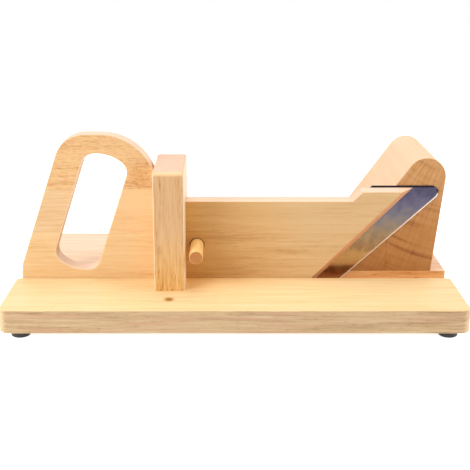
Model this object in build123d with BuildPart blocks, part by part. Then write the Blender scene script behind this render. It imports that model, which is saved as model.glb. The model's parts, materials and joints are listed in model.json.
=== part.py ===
"""Food guillotine: a wooden carriage with a slanted blade slides in a grooved base, through a gate.

The origin is on the floor under the middle of the base. X runs along the groove towards the
blade, Y from the cook to the back, and Z up. All sizes are in millimetres and degrees.
"""

import os
from math import cos, radians, sin, tan

from build123d import *

os.makedirs("parts", exist_ok=True)

# Base board: one glued-up panel
base_length = 400.0
base_depth = 226.0
base_thickness = 20.6
base_corner = 8.0
wood_arris = 0.8
plank_corner = 5.0
rear_plank_corner = 2.0

# Rubber feet, each on a washer and a pan-head screw
foot_diameter = 19.2
foot_floor_diameter = 16.0
foot_height = 7.4
foot_rim = 1.2
foot_inset = 15.8
foot_recess_diameter = 9.0
foot_recess_depth = 4.6
washer_diameter = 8.4
washer_thickness = 0.8
foot_screw_diameter = 4.0
foot_screw_head_diameter = 7.0
foot_screw_head_height = 2.4
foot_screw_grip = 13.0

# Groove that guides the carriage
groove_front = 82.4
groove_depth = 8.0
guide_gap = 0.3
cutting_gap = 0.5
lift_gap = 0.2

# Carriage: handle and running board in one glued-up plate
board_thickness = 18.0
board_height = 73.1
carriage_inset = 5.5
handle_knee_height = 12.5
handle_knee_round = 8.0
handle_slant = 70.9
handle_height = 134.0
handle_left_round = 27.0
handle_right_round = 50.5
handle_round_inset = 75.4
shoulder_gap = 0.8

# Hand hole in the handle, a slanted slot with arched ends
hand_hole_sill = 8.6
hand_hole_roof = 17.2
hand_hole_inset = 65.3
hand_hole_slant = 71.5
hand_hole_width = 40.9
hand_hole_arch = 35.0
hand_hole_corner = 12.0
hand_hole_arris = 1.5

# Raised end of the running board, behind the blade
raised_height = 81.4
ramp_inset = 1.2
ramp_angle = 45.0
end_slant = 45.5
end_inset = 25.0
end_bevel = 12.7

# Blade: a parallelogram of strip steel, ground on the side of the cook
blade_thickness = 1.6
blade_width = 48.6
blade_slant = 43.0
blade_overlap = 19.5
blade_stand_out = 1.6
blade_bottom = -7.0
blade_tip_round = 6.5
blade_grind_width = 1.5
blade_grind_depth = 1.3

# Countersunk screws that hold the blade, from behind
blade_screw_diameter = 3.5
blade_screw_head_diameter = 6.4
blade_screw_length = 14.0
blade_screw_margin = 14.0
blade_screw_low = 10.0
blade_screw_top_margin = 17.0

# Gate: a block that bridges the groove
gate_inset = 129.2
gate_width = 27.0
gate_front = 48.4
gate_back = 127.0
gate_height = 108.1
gate_top_round = 5.0
gate_arris = 2.0
slot_top_gap = 0.8

# Anvil block that the food leans on
block_inset = 14.4
block_foot_length = 96.1
block_slope = 54.4
block_lean = 5.6
block_round = 18.0
block_depth = 110.0
block_arris = 0.6

# Wood screws that come up through the base
wood_screw_diameter = 5.0
wood_screw_head_diameter = 9.6
wood_screw_length = 50.0
screw_tip = 4.0
screw_point_share = 0.25
foot_screw_head_round = 0.8
screw_fit = 0.05
recess_width = 1.0
recess_span = 0.55
recess_depth = 0.9
gate_front_screw_pitch = 17.0
block_screw_pitch_x = 34.0
block_screw_pitch_y = 70.0

# Peg that locks the carriage
peg_diameter = 12.0
peg_hole_gap = 0.8
peg_hole_depth = 14.0
peg_gate_gap = 4.2
peg_height = 32.0
peg_reach = 37.9
peg_entry = 0.3
peg_arris = 0.8

# Levels that follow from the sizes above
base_bottom = foot_height
bed = base_bottom + base_thickness
board_bottom = bed - groove_depth + lift_gap

# Depths, counted from the base's front edge
front_edge = -base_depth / 2
groove_width = guide_gap + board_thickness + blade_thickness + cutting_gap
groove_front_y = front_edge + groove_front
groove_back_y = groove_front_y + groove_width
groove_middle_y = (groove_front_y + groove_back_y) / 2
board_front_y = groove_front_y + guide_gap
board_back_y = board_front_y + board_thickness
blade_back_y = board_back_y + blade_thickness
gate_front_y = front_edge + gate_front
gate_back_y = front_edge + gate_back
gate_depth = gate_back - gate_front
block_back_y = groove_back_y + block_depth

# Handle, gate and peg, counted from the base's left end
left_end = -base_length / 2
carriage_left = left_end + carriage_inset
handle_round_middle = carriage_left + handle_round_inset
hand_hole_x = carriage_left + hand_hole_inset
gate_left = left_end + gate_inset
gate_middle_x = gate_left + gate_width / 2
gate_right = gate_left + gate_width
shoulder_x = gate_left - shoulder_gap
peg_x = gate_right + peg_gate_gap + peg_diameter / 2

# Anvil block, blade and raised end, counted from the base's right end
right_end = base_length / 2
block_foot_right = right_end - block_inset
block_foot_left = block_foot_right - block_foot_length
blade_edge_foot = block_foot_left + blade_overlap
ramp_start = blade_edge_foot - ramp_inset
end_foot = blade_edge_foot - end_inset
blade_tangent = tan(radians(blade_slant))

# Heights above the bed that follow the raised end
blade_top = raised_height + blade_stand_out
blade_screw_high = raised_height - blade_screw_top_margin
blade_screw_heights = {
    "lower": blade_screw_low,
    "middle": (blade_screw_low + blade_screw_high) / 2,
    "upper": blade_screw_high,
}


def facing_front(y):
    """Upright plane at this depth, whose normal points to the cook."""
    return Plane.XZ.offset(-y)


def facing_down(x, y, z):
    """Place on an underside, for holes that go up."""
    return Plane(origin=(x, y, z), x_dir=(1, 0, 0), z_dir=(0, 0, -1))


def write(part, name):
    part.label = name
    export_step(part, f"parts/{name}.step")


# Places that fasteners and feet share with the wood
foot_places = {
    "front_left": (left_end + foot_inset, front_edge + foot_inset),
    "front_right": (right_end - foot_inset, front_edge + foot_inset),
    "rear_left": (left_end + foot_inset, -front_edge - foot_inset),
    "rear_right": (right_end - foot_inset, -front_edge - foot_inset),
}
gate_front_leg_y = (gate_front_y + groove_front_y) / 2
gate_rear_leg_y = (groove_back_y + gate_back_y) / 2
gate_screw_places = {
    "gate_screw_front": (gate_middle_x, gate_front_leg_y - gate_front_screw_pitch / 2),
    "gate_screw_middle": (gate_middle_x, gate_front_leg_y + gate_front_screw_pitch / 2),
    "gate_screw_rear": (gate_middle_x, gate_rear_leg_y),
}
block_middle_x = (block_foot_left + block_foot_right) / 2
block_middle_y = (groove_back_y + block_back_y) / 2
block_screw_places = {
    f"block_screw_{row}_{side}": (
        block_middle_x + x * block_screw_pitch_x / 2,
        block_middle_y + y * block_screw_pitch_y / 2,
    )
    for row, y in (("front", -1), ("rear", 1))
    for side, x in (("left", -1), ("right", 1))
}
wood_screw_places = {**gate_screw_places, **block_screw_places}

with BuildPart() as base_board:
    with BuildSketch(Plane.XY.offset(base_bottom)):
        RectangleRounded(base_length, base_depth, base_corner)
    extrude(amount=base_thickness)
    fillet(base_board.faces().sort_by(Axis.Z)[-1].edges(), wood_arris)
    fillet(base_board.faces().sort_by(Axis.Z)[0].edges(), wood_arris)
    with BuildSketch(Plane.XY.offset(bed)):
        with Locations((0, groove_middle_y)):
            Rectangle(base_length, groove_width)
        # the two planks beside the groove have rounded ends
        for end in (-1, 1):
            for wall, toward, radius in (
                (groove_front_y, -1, plank_corner),
                (groove_back_y, 1, rear_plank_corner),
            ):
                with Locations((end * (base_length - radius) / 2, wall + toward * radius / 2)):
                    Rectangle(radius, radius)
                with Locations((end * (base_length / 2 - radius), wall + toward * radius)):
                    Circle(radius, mode=Mode.SUBTRACT)
    extrude(amount=-groove_depth, mode=Mode.SUBTRACT)
    for place in wood_screw_places.values():
        with Locations(facing_down(*place, base_bottom)):
            CounterSinkHole(
                radius=wood_screw_diameter / 2 + screw_fit,
                counter_sink_radius=wood_screw_head_diameter / 2 + screw_fit,
                counter_sink_angle=90,
            )
    for place in foot_places.values():
        with Locations(facing_down(*place, base_bottom)):
            Hole(radius=foot_screw_diameter / 2 + screw_fit, depth=foot_screw_grip + screw_fit)
write(base_board.part, "base_board")

with BuildPart() as gate:
    with BuildSketch(Plane.YZ.offset(gate_left)) as gate_side:
        with Locations((gate_front_y, bed)):
            Rectangle(gate_depth, gate_height, align=(Align.MIN, Align.MIN))
        fillet(gate_side.vertices().group_by(Axis.Y)[-1], gate_top_round)
    extrude(amount=gate_width)
    side_rims = gate.faces().filter_by(Axis.X).edges()
    fillet(side_rims.filter_by(lambda rim: rim.center().Z > bed + gate_arris), gate_arris)
    with BuildSketch(Plane.YZ.offset(gate_left)):
        with Locations((groove_front_y, bed)):
            Rectangle(groove_width, board_height + slot_top_gap, align=(Align.MIN, Align.MIN))
    extrude(amount=gate_width, mode=Mode.SUBTRACT)
    for place in gate_screw_places.values():
        with Locations(facing_down(*place, bed)):
            Hole(
                radius=wood_screw_diameter / 2 + screw_fit,
                depth=wood_screw_length - base_thickness + screw_fit,
            )
write(gate.part, "gate")

with BuildPart() as anvil_block:
    slope_run = 1 / tan(radians(block_slope))
    lean_run = tan(radians(block_lean))
    apex_height = (block_foot_right - block_foot_left) / (slope_run - lean_run)
    apex_x = block_foot_left + apex_height * slope_run
    with BuildSketch(facing_front(block_back_y)) as block_outline:
        with BuildLine():
            Polyline(
                (block_foot_left, bed),
                (apex_x, bed + apex_height),
                (block_foot_right, bed),
                close=True,
            )
        make_face()
        fillet(block_outline.vertices().sort_by(Axis.Y)[-1], block_round)
    extrude(amount=block_depth)
    end_rims = anvil_block.faces().filter_by(Axis.Y).edges()
    fillet(end_rims.filter_by(lambda rim: rim.center().Z > bed + block_arris), block_arris)
    for place in block_screw_places.values():
        with Locations(facing_down(*place, bed)):
            Hole(
                radius=wood_screw_diameter / 2 + screw_fit,
                depth=wood_screw_length - base_thickness + screw_fit,
            )
write(anvil_block.part, "anvil_block")

# Blade and board outlines are drawn from the same slanted lines
blade_back_foot = blade_edge_foot - blade_width / sin(radians(blade_slant))


def blade_edge_x(height):
    """Where the cutting edge is at this height above the bed."""
    return blade_edge_foot + height / blade_tangent


def blade_back_x(height):
    """Where the blade's blunt back edge is at this height above the bed."""
    return blade_back_foot + height / blade_tangent


blade_screw_places = {
    f"blade_screw_{name}": (
        blade_back_x(height) + blade_screw_margin / sin(radians(blade_slant)),
        bed + height,
    )
    for name, height in blade_screw_heights.items()
}

with BuildPart() as carriage_board:
    slant_run = 1 / tan(radians(handle_slant))
    end_run = 1 / tan(radians(end_slant))
    ramp_end = ramp_start + (raised_height - board_height) / tan(radians(ramp_angle))
    handle_apex = carriage_left + (handle_height - handle_knee_height) * slant_run
    round_middle_height = handle_height - handle_right_round
    shoulder_height = round_middle_height + (
        handle_right_round**2 - (shoulder_x - handle_round_middle) ** 2
    ) ** 0.5
    bottom_height = board_bottom - bed
    with BuildSketch(facing_front(board_back_y)) as carriage_outline:
        with BuildLine():
            handle_left = FilletPolyline(
                (carriage_left, board_bottom),
                (carriage_left, bed + handle_knee_height),
                (handle_apex, bed + handle_height),
                (handle_round_middle, bed + handle_height),
                radius=(handle_knee_round, handle_left_round),
            )
            handle_right = TangentArc(
                handle_left @ 1,
                (shoulder_x, bed + shoulder_height),
                tangent=(1, 0),
            )
            Polyline(
                handle_right @ 1,
                (shoulder_x, bed + board_height),
                (ramp_start, bed + board_height),
                (ramp_end, bed + raised_height),
                (end_foot + raised_height * end_run, bed + raised_height),
                (end_foot + bottom_height * end_run, board_bottom),
                (carriage_left, board_bottom),
            )
        make_face()
    extrude(amount=board_thickness)
    # slanted hand hole, drawn along its own axis
    hole_height = handle_height - hand_hole_roof - hand_hole_sill
    hole_axis = radians(hand_hole_slant)
    half_width = hand_hole_width / 2
    arch_x = (hole_height / 2 - hand_hole_arch) / sin(hole_axis)
    side_end = arch_x + (hand_hole_arch**2 - half_width**2) ** 0.5
    hole_plane = Plane(
        origin=(hand_hole_x, board_back_y, bed + hand_hole_sill + hole_height / 2),
        x_dir=(cos(hole_axis), 0, sin(hole_axis)),
        z_dir=(0, -1, 0),
    )
    with BuildSketch(hole_plane) as hand_hole:
        with BuildLine():
            for end in (1, -1):
                side = Line((-end * side_end, -end * half_width), (end * side_end, -end * half_width))
                ThreePointArc(
                    side @ 1, (end * (arch_x + hand_hole_arch), 0), (end * side_end, end * half_width)
                )
        make_face()
        fillet(hand_hole.vertices(), hand_hole_corner)
    extrude(amount=board_thickness, mode=Mode.SUBTRACT)
    plate_faces = carriage_board.faces().filter_by(Axis.Y)
    hole_rims = [rim for face in plate_faces for wire in face.inner_wires() for rim in wire.edges()]
    fillet(hole_rims, hand_hole_arris)
    # crisper arrises round the handle and on the top of the running board
    plate_faces = carriage_board.faces().filter_by(Axis.Y)
    rims = ShapeList(rim for face in plate_faces for rim in face.outer_wire().edges())
    fillet(
        rims.filter_by(lambda rim: rim.center().X < shoulder_x and rim.center().Z > bed)
        + rims.filter_by(lambda rim: abs(rim.center().Z - bed - board_height) < wood_arris),
        wood_arris,
    )
    # bevel through the thickness of the slanted end
    bevel_plane = Plane(
        origin=(end_foot - end_bevel, board_front_y, bed),
        z_dir=Vector(cos(radians(end_slant)), 0, sin(radians(end_slant))).cross(
            Vector(end_bevel, board_thickness, 0)
        ),
    )
    split(bisect_by=bevel_plane, keep=Keep.TOP)
    with Locations(Plane(origin=(peg_x, board_front_y, bed + peg_height), z_dir=(0, -1, 0))):
        Hole(radius=peg_diameter / 2 + peg_hole_gap, depth=peg_hole_depth)
    for x, z in blade_screw_places.values():
        with Locations(Plane(origin=(x, board_back_y, z), z_dir=(0, 1, 0))):
            Hole(
                radius=blade_screw_diameter / 2 + screw_fit,
                depth=blade_screw_length - blade_thickness + screw_fit,
            )
write(carriage_board.part, "carriage_board")

with BuildPart() as blade:
    with BuildSketch(facing_front(blade_back_y)) as blade_outline:
        with BuildLine():
            Polyline(
                (blade_back_x(blade_bottom), bed + blade_bottom),
                (blade_back_x(blade_top), bed + blade_top),
                (blade_edge_x(blade_top), bed + blade_top),
                (blade_edge_x(blade_bottom), bed + blade_bottom),
                close=True,
            )
        make_face()
        fillet(blade_outline.vertices().sort_by(Axis.X)[-1], blade_tip_round)
    extrude(amount=blade_thickness)
    front_face = blade.faces().filter_by(Axis.Y).sort_by(Axis.Y)[0]
    # the tip's arc and the cutting edge are the two edges that lie furthest to the right
    # without lying level
    ground_edges = (
        front_face.edges()
        .filter_by(lambda rim: abs(rim.tangent_at(0.5).Z) > abs(rim.tangent_at(0.5).X) / 2)
        .sort_by(lambda rim: rim.center().X - rim.center().Z / blade_tangent)[1:]
    )
    chamfer(ground_edges, length=blade_grind_width, length2=blade_grind_depth, reference=front_face)
    for x, z in blade_screw_places.values():
        with Locations(Plane(origin=(x, blade_back_y, z), z_dir=(0, 1, 0))):
            CounterSinkHole(
                radius=blade_screw_diameter / 2 + screw_fit,
                counter_sink_radius=blade_screw_head_diameter / 2 + screw_fit,
                depth=blade_thickness,
                counter_sink_angle=90,
            )
write(blade.part, "blade")


def cross_recess(head_diameter):
    """Two crossed slots in the head of a screw whose top is at the working plane."""
    span = head_diameter * recess_span
    Box(span, recess_width, 2 * recess_depth, mode=Mode.SUBTRACT)
    Box(recess_width, span, 2 * recess_depth, mode=Mode.SUBTRACT)


def countersunk_screw(head_plane, diameter, head_diameter, length):
    """Countersunk screw with its head flush with the plane and its shank behind it."""
    head_height = (head_diameter - diameter) / 2
    lowest = (Align.CENTER, Align.CENTER, Align.MIN)
    with BuildPart(head_plane) as screw:
        with Locations((0, 0, -head_height)):
            Cone(diameter / 2, head_diameter / 2, head_height, align=lowest)
        with Locations((0, 0, screw_tip - length)):
            Cylinder(diameter / 2, length - screw_tip - head_height, align=lowest)
        with Locations((0, 0, -length)):
            Cone(screw_point_share * diameter / 2, diameter / 2, screw_tip, align=lowest)
        cross_recess(head_diameter)
    return screw.part


for name, place in wood_screw_places.items():
    head_plane = facing_down(*place, base_bottom)
    write(
        countersunk_screw(head_plane, wood_screw_diameter, wood_screw_head_diameter, wood_screw_length),
        name,
    )

for name, (x, z) in blade_screw_places.items():
    head_plane = Plane(origin=(x, blade_back_y, z), x_dir=(1, 0, 0), z_dir=(0, 1, 0))
    write(
        countersunk_screw(
            head_plane, blade_screw_diameter, blade_screw_head_diameter, blade_screw_length
        ),
        name,
    )

# Feet: the washer lies in the foot's recess and the screw's head on the washer
recess_floor = foot_height - foot_recess_depth
head_seat = recess_floor + washer_thickness
for name, place in foot_places.items():
    underside = facing_down(*place, base_bottom)
    upward = (Align.CENTER, Align.CENTER, Align.MIN)
    with BuildPart(underside) as foot:
        Cone(foot_diameter / 2, foot_floor_diameter / 2, foot_height, align=upward)
        fillet(foot.edges().sort_by(Axis.Z)[0], foot_rim)
        with Locations((0, 0, foot_height)):
            CounterBoreHole(
                radius=foot_screw_diameter / 2 + screw_fit,
                counter_bore_radius=foot_recess_diameter / 2,
                counter_bore_depth=foot_recess_depth,
            )
    write(foot.part, f"foot_{name}")

    with BuildPart(underside) as foot_washer:
        with Locations((0, 0, recess_floor)):
            Cylinder(washer_diameter / 2, washer_thickness, align=upward)
        with Locations((0, 0, head_seat)):
            Hole(radius=foot_screw_diameter / 2 + screw_fit)
    write(foot_washer.part, f"foot_washer_{name}")

    with BuildPart(underside.offset(head_seat + foot_screw_head_height)) as foot_screw:
        with Locations((0, 0, -foot_screw_head_height)):
            Cylinder(foot_screw_head_diameter / 2, foot_screw_head_height, align=upward)
        fillet(foot_screw.edges().sort_by(Axis.Z)[0], foot_screw_head_round)
        with Locations((0, 0, -foot_screw_head_height - head_seat - foot_screw_grip)):
            Cylinder(foot_screw_diameter / 2, head_seat + foot_screw_grip, align=upward)
        cross_recess(foot_screw_head_diameter)
    write(foot_screw.part, f"foot_screw_{name}")

# The peg's inner end stops in the mouth of its hole, so that it clears the carriage as it opens
with BuildPart() as lock_peg:
    with BuildSketch(facing_front(board_front_y + peg_entry)):
        with Locations((peg_x, bed + peg_height)):
            Circle(peg_diameter / 2)
    extrude(amount=peg_reach + peg_entry)
    fillet(lock_peg.edges().sort_by(Axis.Y)[0], peg_arris)
write(lock_peg.part, "lock_peg")
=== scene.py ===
"""Looks of the food guillotine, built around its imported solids.

The frame is the solids' own, in metres: X runs along the groove towards the blade, Y from
the cook to the back, and Z up. Sizes that belong to a finish are named in millimetres.
"""

import json
from math import pi, radians
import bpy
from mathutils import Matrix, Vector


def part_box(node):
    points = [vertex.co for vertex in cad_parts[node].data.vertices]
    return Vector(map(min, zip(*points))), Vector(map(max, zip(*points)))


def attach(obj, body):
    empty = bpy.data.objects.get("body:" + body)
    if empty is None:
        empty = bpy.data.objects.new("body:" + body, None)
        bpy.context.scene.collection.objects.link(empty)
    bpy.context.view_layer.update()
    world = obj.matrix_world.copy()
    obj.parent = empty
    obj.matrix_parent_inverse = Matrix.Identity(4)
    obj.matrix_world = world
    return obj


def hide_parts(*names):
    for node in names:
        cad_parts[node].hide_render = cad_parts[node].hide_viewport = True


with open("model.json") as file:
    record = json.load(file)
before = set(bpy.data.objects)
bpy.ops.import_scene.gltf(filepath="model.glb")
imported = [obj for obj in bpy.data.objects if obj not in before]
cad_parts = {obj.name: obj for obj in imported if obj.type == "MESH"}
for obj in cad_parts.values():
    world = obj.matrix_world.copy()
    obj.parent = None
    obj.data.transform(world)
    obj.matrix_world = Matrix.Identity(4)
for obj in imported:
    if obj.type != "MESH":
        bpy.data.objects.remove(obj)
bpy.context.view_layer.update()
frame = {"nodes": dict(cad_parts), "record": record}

from types import SimpleNamespace

import bpy
from mathutils import Vector

bpy.ops.object.select_all(action="DESELECT")

record = frame["record"]
bodies = record["behaviour"]["bodies"]
slots = {part["node"]: part["material_slot"] for part in record["subparts"]}

MM = 0.001
SHARP = 0.01 * MM  # width of a change of colour that looks sharp

# Edges that the finishes follow, read from the solids
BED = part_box("base_board")[1].z
GATE_LOW, GATE_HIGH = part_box("gate")
BOARD_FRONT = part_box("carriage_board")[0].y
BLOCK_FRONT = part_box("anvil_block")[0].y
BLADE_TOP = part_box("blade")[1].z


def linear(code):
    """Linear colour of an sRGB hex code."""
    channels = [int(code[i : i + 2], 16) / 255 for i in (0, 2, 4)]
    return [c / 12.92 if c <= 0.04045 else ((c + 0.055) / 1.055) ** 2.4 for c in channels] + [1.0]


def put(tree, kind, inputs=(), stops=(), **settings):
    """Adds a node. Each input is a value or the output that feeds it; stops are a ramp's."""
    made = tree.nodes.new("ShaderNode" + kind)
    for name, value in settings.items():
        setattr(made, name, value)
    for socket, value in dict(inputs).items():
        if isinstance(value, bpy.types.NodeSocket):
            tree.links.new(value, made.inputs[socket])
        else:
            made.inputs[socket].default_value = value
    if stops:
        elements = made.color_ramp.elements
        for _ in stops[2:]:
            elements.new(0.5)
        for element, (position, code) in zip(elements, stops):
            element.position = position
            element.color = linear(code)
    return made


def new_material(name):
    """An empty material and its node tree."""
    material = bpy.data.materials.new(name)
    material.use_nodes = True
    material.node_tree.nodes.clear()
    return material, material.node_tree


def summed(tree, start, layers):
    """start plus each layer's value times its weight."""
    total = start
    for value, weight in layers:
        step = put(tree, "Math", {0: value, 1: weight, 2: total}, operation="MULTIPLY_ADD")
        total = step.outputs[0]
    return total


def product(tree, first, *others):
    """All the values multiplied, so that a mask is full only where the others are too."""
    whole = first
    for value in others:
        whole = put(tree, "Math", {0: whole, 1: value}, operation="MULTIPLY").outputs[0]
    return whole


def share(tree, value, low, high):
    """0 where the value is at low, 1 where it is at high, and in between along the way."""
    above = put(tree, "Math", {0: value, 1: low}, operation="SUBTRACT").outputs[0]
    clamped = put(tree, "Math", {0: above, 1: high - low}, operation="DIVIDE", use_clamp=True)
    return clamped.outputs[0]


def overlaid(tree, colour, layers):
    """colour, with each layer's colour laid over it as far as the layer's mask says."""
    for mask, layer in layers:
        colour = put(tree, "Mix", {0: mask, 6: colour, 7: layer}, data_type="RGBA").outputs[2]
    return colour


def wood_colour(tree, tone, codes, layers=()):
    """Colour of a wood whose tone picks it from three codes, dark to pale, under its layers."""
    stops = list(zip((0.0, 0.5, 1.0), codes.split()))
    bare = put(tree, "ValToRGB", {"Fac": tone}, stops=stops).outputs[0]
    return overlaid(tree, bare, layers)


# Wood: all of it is rubberwood, sanded and oiled. Its marks are drawn in space, so that each
# piece cuts them at its own place. Each size is length along the grain, then across it twice.
GRAIN_TURN = {"x": (0, 0, 0), "y": (0, 0, -pi / 2), "z": (0, pi / 2, 0)}
CLOUD_MM = (120, 36, 36)  # slow changes of tone
BAND_MM = (190, 8, 8)  # growth rings cut along the grain
STREAK_MM = (75, 2.6, 2.6)  # lines of soft tissue
FIBRE_MM = (20, 1.0, 1.0)  # drawn about twice as coarse as real fibres, to show in the render
DASH_MM = (8, 0.9, 0.9)  # open pores, short dashes drawn about twice as coarse as real ones
OIL_ROUGHNESS = 0.5
OIL_IOR = 1.45
FIBRE_HEIGHT_MM = 0.06


def surface_of(tree, grain="x", shift_mm=(0, 0, 0)):
    """Where a surface is, the way it faces, and its place in the pattern.

    position and facing are along X, Y and Z, and aligned is facing without its sign. place is
    in millimetres, with the grain along X.
    """
    coordinates = put(tree, "TexCoord").outputs
    unsigned = put(tree, "VectorMath", {0: coordinates["Normal"]}, operation="ABSOLUTE")
    place = put(
        tree,
        "Mapping",
        {
            "Vector": coordinates["Object"],
            "Location": shift_mm,
            "Rotation": GRAIN_TURN[grain],
            "Scale": [1 / MM] * 3,
        },
    )
    return SimpleNamespace(
        point=coordinates["Object"],
        position=put(tree, "SeparateXYZ", {"Vector": coordinates["Object"]}).outputs,
        facing=put(tree, "SeparateXYZ", {"Vector": coordinates["Normal"]}).outputs,
        aligned=put(tree, "SeparateXYZ", {"Vector": unsigned.outputs[0]}).outputs,
        place=place.outputs[0],
    )


def marks(tree, place, size_mm, detail, seed):
    """Noise from about -1 to 1 whose marks are as long and wide as size_mm says."""
    scale = [1 / side for side in size_mm]
    spread = put(tree, "Mapping", {"Vector": place, "Scale": scale, "Location": (seed, 0, seed)})
    noise = put(tree, "TexNoise", {"Vector": spread.outputs[0], "Scale": 1.0, "Detail": detail})
    signed = put(tree, "Math", {0: noise.outputs["Fac"], 1: 4.0, 2: -2.0}, operation="MULTIPLY_ADD")
    return signed.outputs[0]


def round_mark(tree, surface, centre_mm, half_mm):
    """1 in the middle of a round mark, 0 from its rim on. It runs through where half is 0."""
    location = [-at / half if half else 0 for at, half in zip(centre_mm, half_mm)]
    scale = [1 / half / MM if half else 0 for half in half_mm]
    centred = put(tree, "Mapping", {"Vector": surface.point, "Location": location, "Scale": scale})
    faded = put(tree, "TexGradient", {"Vector": centred.outputs[0]}, gradient_type="SPHERICAL")
    return faded.outputs["Fac"]


def rubberwood(tree, place, dashes, bands=0.16, streaks=0.2, fibres=0.16):
    """Tone of the wood, 0 dark to 1 pale, and the height of its grain."""
    cloud = marks(tree, place, CLOUD_MM, 2, 11)
    band = marks(tree, place, BAND_MM, 2, 17)
    streak = marks(tree, place, STREAK_MM, 3, 3)
    fibre = marks(tree, place, FIBRE_MM, 2, 7)
    dash = share(tree, marks(tree, place, DASH_MM, 1, 5), 0.35, 0.8)
    fine = summed(tree, 0.0, [(streak, streaks), (fibre, fibres), (dash, -dashes)])
    lively = summed(tree, 0.5, [(share(tree, cloud, 0.6, -0.6), 1.0)])
    tone = summed(tree, 0.5, [(cloud, 0.1), (band, bands), (fine, lively)])
    height = summed(tree, 0.0, [(fibre, 0.3), (dash, -1.0)])
    return tone, height


def oiled_finish(tree, colour, height):
    """Thin rubbed-in oil over sanded wood: a soft sheen and fibres that are just felt."""
    relief = {"Height": height, "Strength": 0.35, "Distance": FIBRE_HEIGHT_MM * MM}
    bump = put(tree, "Bump", relief).outputs[0]
    wood = {"Base Color": colour, "Roughness": OIL_ROUGHNESS, "IOR": OIL_IOR, "Normal": bump}
    put(tree, "OutputMaterial", {"Surface": put(tree, "BsdfPrincipled", wood).outputs[0]})


REAR_SHIFT_MM = (230, 90, 40)  # the rear plank is cut from another place in the wood
REAR_START = BLOCK_FRONT - 0.5 * MM  # depth where the rear plank starts
KNOT_PLACE_MM = (-56.7, -85.8, 0)  # a small round knot in the front plank, beside the gate
KNOT_MM = (5.8, 7.0, 0)  # half its length along the grain, and half its width across it
GATE_SHADOW_REACH = 90 * MM  # how far to the right of the gate the front plank gets a painted shadow of the gate
GATE_SHADOW_FRONT = GATE_LOW.y - 5 * MM  # depth where that painted shadow begins


def base_wood():
    """Base: a pale yellow front plank, a pinkish rear plank and greyer edges with pink streaks."""
    material, tree = new_material("rubberwood_panel_sanded_and_oiled")
    surface = surface_of(tree, "x", (0, 40, -55))
    position, facing, aligned = surface.position, surface.facing, surface.aligned
    rear = share(tree, position["Y"], REAR_START, REAR_START + SHARP)
    moved = {0: rear, 1: REAR_SHIFT_MM, 2: surface.place}
    plank = put(tree, "VectorMath", moved, operation="MULTIPLY_ADD").outputs[0]
    tone, height = rubberwood(tree, plank, dashes=0.12, streaks=0.26, fibres=0.12)
    striped = summed(tree, tone, [(marks(tree, plank, (120, 5, 5), 2, 29), 0.25)])
    fleck = share(tree, marks(tree, plank, (8, 1.0, 1.0), 1, 47), 0.5, 0.9)
    lines = marks(tree, plank, (34, 1.5, 1.5), 3, 43)
    ragged = summed(tree, tone, [(lines, 0.16), (fleck, -0.3)])
    pink = share(tree, marks(tree, plank, (70, 3.6, 3.6), 3, 23), 0.0, 1.1)

    face = wood_colour(
        tree,
        tone,
        "EDBF82 F6D69E FBE3B7",
        [(rear, wood_colour(tree, striped, "E6BB93 F8D4B2 FDE3CE"))],
    )
    edge = wood_colour(
        tree,
        ragged,
        "A27C56 CFAE83 DEC9A0",
        [
            (pink, linear("C99A7A")),
            (rear, wood_colour(tree, ragged, "BE763A EAAA68 F8D09A")),
            # painted highlight: the ends and rounded corners that face sideways are paler
            (share(tree, aligned["X"], 0.1, 0.6), wood_colour(tree, tone, "D4AC7E E6C799 F2DAB2")),
        ],
    )
    # painted shadow of the gate, on the front plank's top to the right of the gate's foot
    gate_shadow = product(
        tree,
        share(tree, position["X"], GATE_HIGH.x + GATE_SHADOW_REACH, GATE_HIGH.x),
        share(tree, position["Y"], GATE_SHADOW_FRONT, BOARD_FRONT),
        share(tree, position["X"], GATE_LOW.x, GATE_LOW.x + SHARP),
        share(tree, rear, 1.0, 0.0),
        share(tree, facing["Z"], 0.3, 0.8),
    )
    knot = round_mark(tree, surface, KNOT_PLACE_MM, KNOT_MM)
    colour = overlaid(
        tree,
        edge,
        [
            (share(tree, aligned["Z"], 0.3, 0.8), face),
            # painted shadow of the gate: a saturated orange
            (product(tree, gate_shadow, 0.8), linear("F2B65A")),
            (share(tree, knot, 0.0, 0.4), linear("D8AA68")),
            (share(tree, knot, 0.4, 0.65), linear("A4703A")),
        ],
    )
    oiled_finish(tree, colour, height)
    return material


GATE_WARM = (BED + 55 * MM, BED + 5 * MM)  # heights between which the gate's foot turns warmer


def gate_wood():
    """Gate: greyish tan with upright grain, a warmer foot, a pink top, and pale painted highlights
    on its sides, its side arrises and its rounded top edges.
    """
    material, tree = new_material("rubberwood_block_upright_grain")
    surface = surface_of(tree, "z", (30, 75, 20))
    facing = surface.facing
    tone, height = rubberwood(
        tree, surface.place, dashes=0.28, bands=0.07, streaks=0.12, fibres=0.28
    )
    foot = share(tree, surface.position["Z"], *GATE_WARM)
    # painted highlight: the gate's sides and side arrises are paler, as if lit from both sides
    side = share(tree, surface.aligned["X"], 0.4, 0.8)
    colour = wood_colour(
        tree,
        tone,
        "AE7844 D4A675 E4C292",
        [
            (foot, wood_colour(tree, tone, "BC7C38 E7B56F F5CF8B")),
            (side, wood_colour(tree, tone, "E6C08E FAE0BC FFEACC")),
            # painted highlight on the rounded edges between the gate's faces and its top
            (share(tree, facing["Z"], 0.15, 0.6), linear("F6CE98")),
            (share(tree, facing["Z"], 0.6, 0.95), wood_colour(tree, tone, "E4AE8E F1C0A1 F6CCB0")),
        ],
    )
    oiled_finish(tree, colour, height)
    return material


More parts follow.
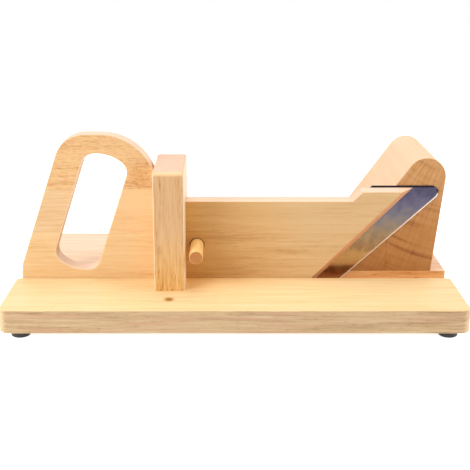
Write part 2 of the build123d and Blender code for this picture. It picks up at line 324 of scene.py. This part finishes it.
GLUE_LINES_MM = (43.4, 84.4)  # heights above the bed where the carriage's staves are glued
STAVE_SHIFT_MM = (170, 60, 45)  # each stave is cut from another place in the wood
FAR_LEFT = (-105 * MM, -160 * MM)  # between these the handle's far side grows its fine lines
GATE_SHADE_FADE = 110 * MM  # how far to the right of the gate the painted shadow of the gate on the running board fades out
BURR_PLACE_MM = (-84.9, 0, 125.5)  # curly grain round a small branch, beside the hand hole
BURR_MM = (12, 0, 12)


def carriage_wood():
    """Carriage: three glued staves, the upper one browner and flecked, the others yellower."""
    material, tree = new_material("rubberwood_staves_planed_and_oiled")
    surface = surface_of(tree, "x", (55, 30, 10))
    position, facing = surface.position, surface.facing
    lines = [BED + height_mm * MM for height_mm in GLUE_LINES_MM]
    middle, upper = [share(tree, position["Z"], line, line + SHARP) for line in lines]
    moved = {0: summed(tree, middle, [(upper, 1.0)]), 1: STAVE_SHIFT_MM, 2: surface.place}
    place = put(tree, "VectorMath", moved, operation="MULTIPLY_ADD").outputs[0]
    tone, height = rubberwood(tree, place, dashes=0.15, streaks=0.17, fibres=0.14)
    lined = summed(tree, tone, [(marks(tree, place, (50, 1.3, 1.3), 3, 53), 0.26)])
    far_left = product(tree, middle, share(tree, position["X"], *FAR_LEFT))
    blush = share(tree, marks(tree, place, (16, 4, 4), 2, 61), 0.0, 1.0)
    burr = round_mark(tree, surface, BURR_PLACE_MM, BURR_MM)
    curl = share(tree, marks(tree, place, (2.6, 2.6, 1.4), 2, 71), 0.0, 0.7)
    curls = product(tree, curl, share(tree, burr, 0.0, 0.4))
    fleck = share(tree, marks(tree, place, (5, 1.0, 1.0), 2, 41), 0.0, 0.9)
    flecked = summed(tree, tone, [(fleck, -0.3), (curls, -0.45)])
    beyond_gate = share(tree, position["X"], GATE_LOW.x, GATE_HIGH.x)
    # the painted shadow of the gate fades out over this reach to the right of the gate
    paler = share(tree, position["X"], GATE_HIGH.x, GATE_HIGH.x + GATE_SHADE_FADE)
    # painted highlight: the slanted bevel at the raised end is paler than the board's face
    bevel_highlight = product(
        tree,
        share(tree, surface.aligned["Y"], 0.2, 0.21),
        share(tree, facing["X"], 0.3, 0.6),
        beyond_gate,
    )

    handle = wood_colour(
        tree,
        tone,
        "D4A064 EAC28C F2D6A8",
        [
            (middle, wood_colour(tree, tone, "DAA368 EDC28C F2D3A7")),
            (far_left, wood_colour(tree, lined, "C89A66 E4BB8A F0D4AA")),
            (upper, wood_colour(tree, flecked, "BA7A3C E6BA82 EDCC97")),
            (product(tree, upper, blush, 0.6), linear("E6AA7C")),
            (product(tree, upper, share(tree, burr, 0.0, 0.7), 0.4), linear("D08A40")),
        ],
    )
    # painted shadow of the gate: the running board beyond the gate is darker and more orange than
    # the handle, fading out towards the right
    running = wood_colour(
        tree,
        tone,
        "AC722D CD984E DCAF67",
        [(paler, wood_colour(tree, tone, "BD8F56 D6B07E E1C395"))],
    )
    colour = overlaid(
        tree,
        handle,
        [
            (beyond_gate, running),
            # painted highlight: faces turned towards the right, such as the handle's falling curve
            # and the arrises, are paler
            (share(tree, facing["X"], 0.05, 0.3), wood_colour(tree, tone, "EAC49C F6DABA FBE4C8")),
            (share(tree, facing["X"], 0.8, 0.95), wood_colour(tree, tone, "C89C72 DDB48C E8C49E")),
            (bevel_highlight, wood_colour(tree, tone, "DC9C6C EDB384 F4C298")),
            (share(tree, facing["Z"], 0.2, 0.8), wood_colour(tree, tone, "ECC09E F6D0B1 FAD9BE")),
        ],
    )
    oiled_finish(tree, colour, height)
    return material


HEART_MM = (223, 210)  # X and Z of the middle of the tree, beyond the block's upper right
UNROLL_RADIUS_MM = 150  # distance from the heart at which the unrolled arcs keep their length
STAVE_LINE = 142.8 * MM  # where the block's two staves are glued
GLUE_HALF_WIDTH = 0.4 * MM  # wider than that of a real glue line, to show in the render
BLOCK_PALER = (BED + 45 * MM, BED + 85 * MM)  # heights between which the block's end turns paler


def block_wood():
    """Anvil block: grain from front to back, so its ends are orange-brown with arcs and rays."""
    material, tree = new_material("rubberwood_block_end_grain_front")
    surface = surface_of(tree, "y", (0, 150, 120))
    position = surface.position
    tone, height = rubberwood(tree, surface.place, dashes=0.1, streaks=0.12, fibres=0.1)
    from_heart = {
        "Vector": surface.point,
        "Location": (-HEART_MM[0], 0, -HEART_MM[1]),
        "Scale": (1 / MM, 0, 1 / MM),
    }
    heart = put(tree, "Mapping", from_heart).outputs[0]
    apart = put(tree, "SeparateXYZ", {"Vector": heart}).outputs
    radius = put(tree, "VectorMath", {0: heart}, operation="LENGTH").outputs["Value"]
    turn = put(tree, "Math", {0: apart["X"], 1: apart["Z"]}, operation="ARCTAN2").outputs[0]
    unrolled = {"X": product(tree, turn, UNROLL_RADIUS_MM), "Y": radius}
    round_heart = put(tree, "CombineXYZ", unrolled).outputs[0]
    arcs = marks(tree, round_heart, (95, 4.8, 60), 1, 31)
    rays = marks(tree, round_heart, (2.6, 30, 60), 1, 13)
    high = share(tree, position["Z"], *BLOCK_PALER)
    right_stave = share(tree, position["X"], STAVE_LINE, STAVE_LINE + SHARP)
    arc_strength = summed(tree, 0.3, [(right_stave, 0.7)])
    dark_arcs = product(
        tree, share(tree, arcs, -0.15, -0.7), arc_strength, summed(tree, 1.0, [(high, -0.7)])
    )
    cut_tone = summed(
        tree,
        0.55,
        [
            (product(tree, arcs, arc_strength), 0.12),
            (dark_arcs, -0.24),
            (rays, 0.12),
            (product(tree, rays, high), 0.1),
            (marks(tree, heart, (1.6, 1.6, 1.6), 2, 3), 0.1),
            (marks(tree, heart, (22, 22, 22), 2, 5), 0.08),
        ],
    )
    at_line = {0: position["X"], 1: STAVE_LINE, 2: GLUE_HALF_WIDTH}
    glue = put(tree, "Math", at_line, operation="COMPARE").outputs[0]

    end = wood_colour(
        tree,
        cut_tone,
        "884A1C B4783D CB965C",
        [
            (high, wood_colour(tree, cut_tone, "9A5E2E C58E54 D6A878")),
            (product(tree, glue, 0.6), linear("9A5E2C")),
        ],
    )
    colour = wood_colour(
        tree,
        tone,
        "EDB78A F6CBA1 FBD8B7",
        [(share(tree, surface.aligned["Y"], 0.4, 0.9), end)],
    )
    oiled_finish(tree, colour, height)
    return material


def peg_wood():
    """Peg: a turned dowel, orange along its side and darker on its cut end."""
    material, tree = new_material("rubberwood_dowel_turned")
    surface = surface_of(tree, "y", (0, 30, 90))
    tone, height = rubberwood(tree, surface.place, dashes=0.2)
    cut_end = share(tree, surface.aligned["Y"], 0.7, 0.95)
    colour = wood_colour(
        tree,
        tone,
        "EDB369 FACD83 FFE09D",
        [(cut_end, wood_colour(tree, tone, "AD6933 BB793F C78A4C"))],
    )
    oiled_finish(tree, colour, height)
    return material


BLADE_SLANT = radians(43)


def blade_steel():
    """Blade: stainless strip, polished, near-black on its narrow edges, its colour a painted
    reflection that runs from brown at its foot to blue-black at its top.
    """
    material, tree = new_material("stainless_strip_polished")
    surface = surface_of(tree)
    slant = {"Vector": surface.place, "Rotation": (0, BLADE_SLANT, 0)}
    along = put(tree, "Mapping", slant).outputs[0]
    scratches = marks(tree, along, (40, 0.8, 0.8), 3, 2)
    haze = marks(tree, along, (9, 6, 6), 5, 9)
    rise = share(tree, surface.position["Z"], BED, BLADE_TOP)
    # painted reflection: the steel's colour runs from brown at its foot to blue-black at its top,
    # as if mirroring the wood below and dark surroundings above
    steel = put(
        tree,
        "ValToRGB",
        {"Fac": summed(tree, product(tree, haze, 0.1), [(rise, 1.0)])},
        stops=[
            (0.0, "AC8464"),
            (0.08, "B6946A"),
            (0.2, "B89A70"),
            (0.3, "94785A"),
            (0.45, "7E684E"),
            (0.62, "68605E"),
            (0.8, "545060"),
            (1.0, "403C4E"),
        ],
    ).outputs[0]
    narrow = share(tree, surface.aligned["Y"], 0.98, 0.9)
    # the ground bevel along the lower edge is near-white, less metallic and rougher: a ground edge
    # with a painted highlight
    ground = product(tree, narrow, share(tree, surface.facing["Z"], 0.0, -0.3))
    polished = {
        "Base Color": overlaid(
            tree, steel, [(narrow, linear("2E2830")), (ground, linear("FFF6F0"))]
        ),
        "Metallic": summed(tree, 1.0, [(ground, -0.7)]),
        "Roughness": summed(tree, 0.22, [(scratches, 0.03), (haze, 0.05), (ground, 0.3)]),
    }
    put(tree, "OutputMaterial", {"Surface": put(tree, "BsdfPrincipled", polished).outputs[0]})
    return material


def zinc_steel(name, code, roughness):
    """Zinc-plated steel: pale grey metal with a faint cloudy haze."""
    material, tree = new_material(name)
    haze = marks(tree, surface_of(tree).place, (2.5, 2.5, 2.5), 3, 1)
    plated = {
        "Base Color": linear(code),
        "Metallic": 1.0,
        "Roughness": summed(tree, roughness, [(haze, 0.04)]),
    }
    put(tree, "OutputMaterial", {"Surface": put(tree, "BsdfPrincipled", plated).outputs[0]})
    return material


def foot_rubber():
    """Feet: moulded rubber, matt and nearly black, with a faint texture from the mould."""
    material, tree = new_material("nitrile_rubber_moulded")
    texture = marks(tree, surface_of(tree).place, (0.6, 0.6, 0.6), 2, 4)
    bump = put(tree, "Bump", {"Height": texture, "Strength": 0.1, "Distance": 0.05 * MM})
    moulded = {
        "Base Color": linear("2E2B30"),
        "Roughness": 0.55,
        "IOR": 1.5,
        "Normal": bump.outputs[0],
    }
    put(tree, "OutputMaterial", {"Surface": put(tree, "BsdfPrincipled", moulded).outputs[0]})
    return material


MERGE_DISTANCE = 0.002 * MM


def smooth_copy(node, name, material, angle=35):
    """A merged copy of a node's mesh with soft normals on its rounds, shown in its place."""
    bpy.ops.object.select_all(action="DESELECT")
    piece = bpy.data.objects.new(name, frame["nodes"][node].data.copy())
    bpy.context.scene.collection.objects.link(piece)
    piece.select_set(True)
    bpy.context.view_layer.objects.active = piece
    bpy.ops.mesh.customdata_custom_splitnormals_clear()
    bpy.ops.object.mode_set(mode="EDIT")
    bpy.ops.mesh.select_all(action="SELECT")
    bpy.ops.mesh.remove_doubles(threshold=MERGE_DISTANCE)
    bpy.ops.object.mode_set(mode="OBJECT")
    bpy.ops.object.shade_smooth_by_angle(angle=radians(angle))
    weighting = piece.modifiers.new("weighting", "WEIGHTED_NORMAL")
    weighting.keep_sharp = True
    bpy.ops.object.modifier_apply(modifier=weighting.name)
    piece.data.materials.clear()
    piece.data.materials.append(material)
    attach(piece, next(body for body, nodes in bodies.items() if node in nodes))
    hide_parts(node)


smooth_copy("base_board", "base_panel", base_wood())
smooth_copy("gate", "gate_bridge", gate_wood())
smooth_copy("anvil_block", "anvil", block_wood())
smooth_copy("carriage_board", "carriage_plate", carriage_wood())
smooth_copy("lock_peg", "peg_dowel", peg_wood())
smooth_copy("blade", "blade_strip", blade_steel(), angle=20)

small_pieces = {
    "foot_rubber": foot_rubber(),
    "screw_steel": zinc_steel("zinc_plated_screw_steel", "C9C9C6", 0.34),
    "washer_steel": zinc_steel("zinc_plated_washer_steel", "CFCFCC", 0.3),
}
for node, slot in slots.items():
    if slot in small_pieces:
        smooth_copy(node, node + "_finished", small_pieces[slot])


def seen_or_mirrored(tree):
    """1 for rays from the camera, also by way of a mirror or glass, else 0."""
    path = put(tree, "LightPath").outputs
    direct = {0: path["Is Camera Ray"], 1: path["Is Glossy Ray"]}
    seen = put(tree, "Math", direct, operation="MAXIMUM").outputs[0]
    through = {0: seen, 1: path["Is Transmission Ray"]}
    return put(tree, "Math", through, operation="MAXIMUM").outputs[0]


def add_floor():
    """White floor that keeps a faint shadow of the object."""
    bpy.ops.mesh.primitive_plane_add(size=6, location=(0, 0, 0))
    floor = bpy.context.object
    floor.name = "floor"
    material, tree = new_material("white_paper_sweep")
    lit = put(tree, "BsdfDiffuse", {"Color": linear("F2F2F2")}).outputs[0]
    glow = put(tree, "Emission", {"Color": linear("FFFFFF"), "Strength": 0.86}).outputs[0]
    both = put(tree, "AddShader", {0: lit, 1: glow}).outputs[0]
    shown = put(tree, "MixShader", {0: seen_or_mirrored(tree), 1: lit, 2: both}).outputs[0]
    put(tree, "OutputMaterial", {"Surface": shown})
    floor.data.materials.append(material)


def add_world():
    """Even white surroundings, full white where the camera or a reflection sees them."""
    world = bpy.data.worlds.new("white_room")
    bpy.context.scene.world = world
    world.use_nodes = True
    tree = world.node_tree
    tree.nodes.clear()
    white = linear("FFFFFF")
    room = put(tree, "Background", {"Color": white, "Strength": 0.5}).outputs[0]
    backdrop = put(tree, "Background", {"Color": white, "Strength": 1.0}).outputs[0]
    shown = put(tree, "MixShader", {0: seen_or_mirrored(tree), 1: room, 2: backdrop}).outputs[0]
    put(tree, "OutputWorld", {"Surface": shown})


SOFTBOX_AIM = Vector((0, 0, 0.05))


def add_softbox(name, place, size, watts):
    """A square softbox that faces the object."""
    data = bpy.data.lights.new(name, "AREA")
    data.shape = "SQUARE"
    data.size = size
    data.energy = watts
    lamp = bpy.data.objects.new(name, data)
    bpy.context.scene.collection.objects.link(lamp)
    lamp.location = place
    lamp.rotation_euler = (SOFTBOX_AIM - Vector(place)).to_track_quat("-Z", "Y").to_euler()


add_floor()
add_world()
add_softbox("overhead_softbox", (0.0, 0.15, 1.3), 0.9, 7)
add_softbox("left_softbox", (-1.0, -0.8, 0.65), 0.6, 9)
add_softbox("right_softbox", (1.1, -0.35, 0.75), 0.6, 5)

# Camera: where and how the photograph was taken, fitted to the object's edges
IMAGE_PIXELS = 470
FOCAL_PIXELS = 945
PRINCIPAL_PIXEL_X = 224.204
SENSOR_MM = 36
CAMERA_PLACE = (-0.008816, -0.853384, 0.32026)
CAMERA_TILT = radians(73.055)
camera_data = bpy.data.cameras.new("camera")
camera_data.sensor_width = SENSOR_MM
camera_data.lens = FOCAL_PIXELS / IMAGE_PIXELS * SENSOR_MM
camera_data.shift_x = (IMAGE_PIXELS / 2 - PRINCIPAL_PIXEL_X) / IMAGE_PIXELS
camera = bpy.data.objects.new("camera", camera_data)
bpy.context.scene.collection.objects.link(camera)
camera.location = CAMERA_PLACE
camera.rotation_euler = (CAMERA_TILT, 0, 0)
bpy.context.scene.camera = camera

bpy.context.scene.view_settings.view_transform = "Standard"
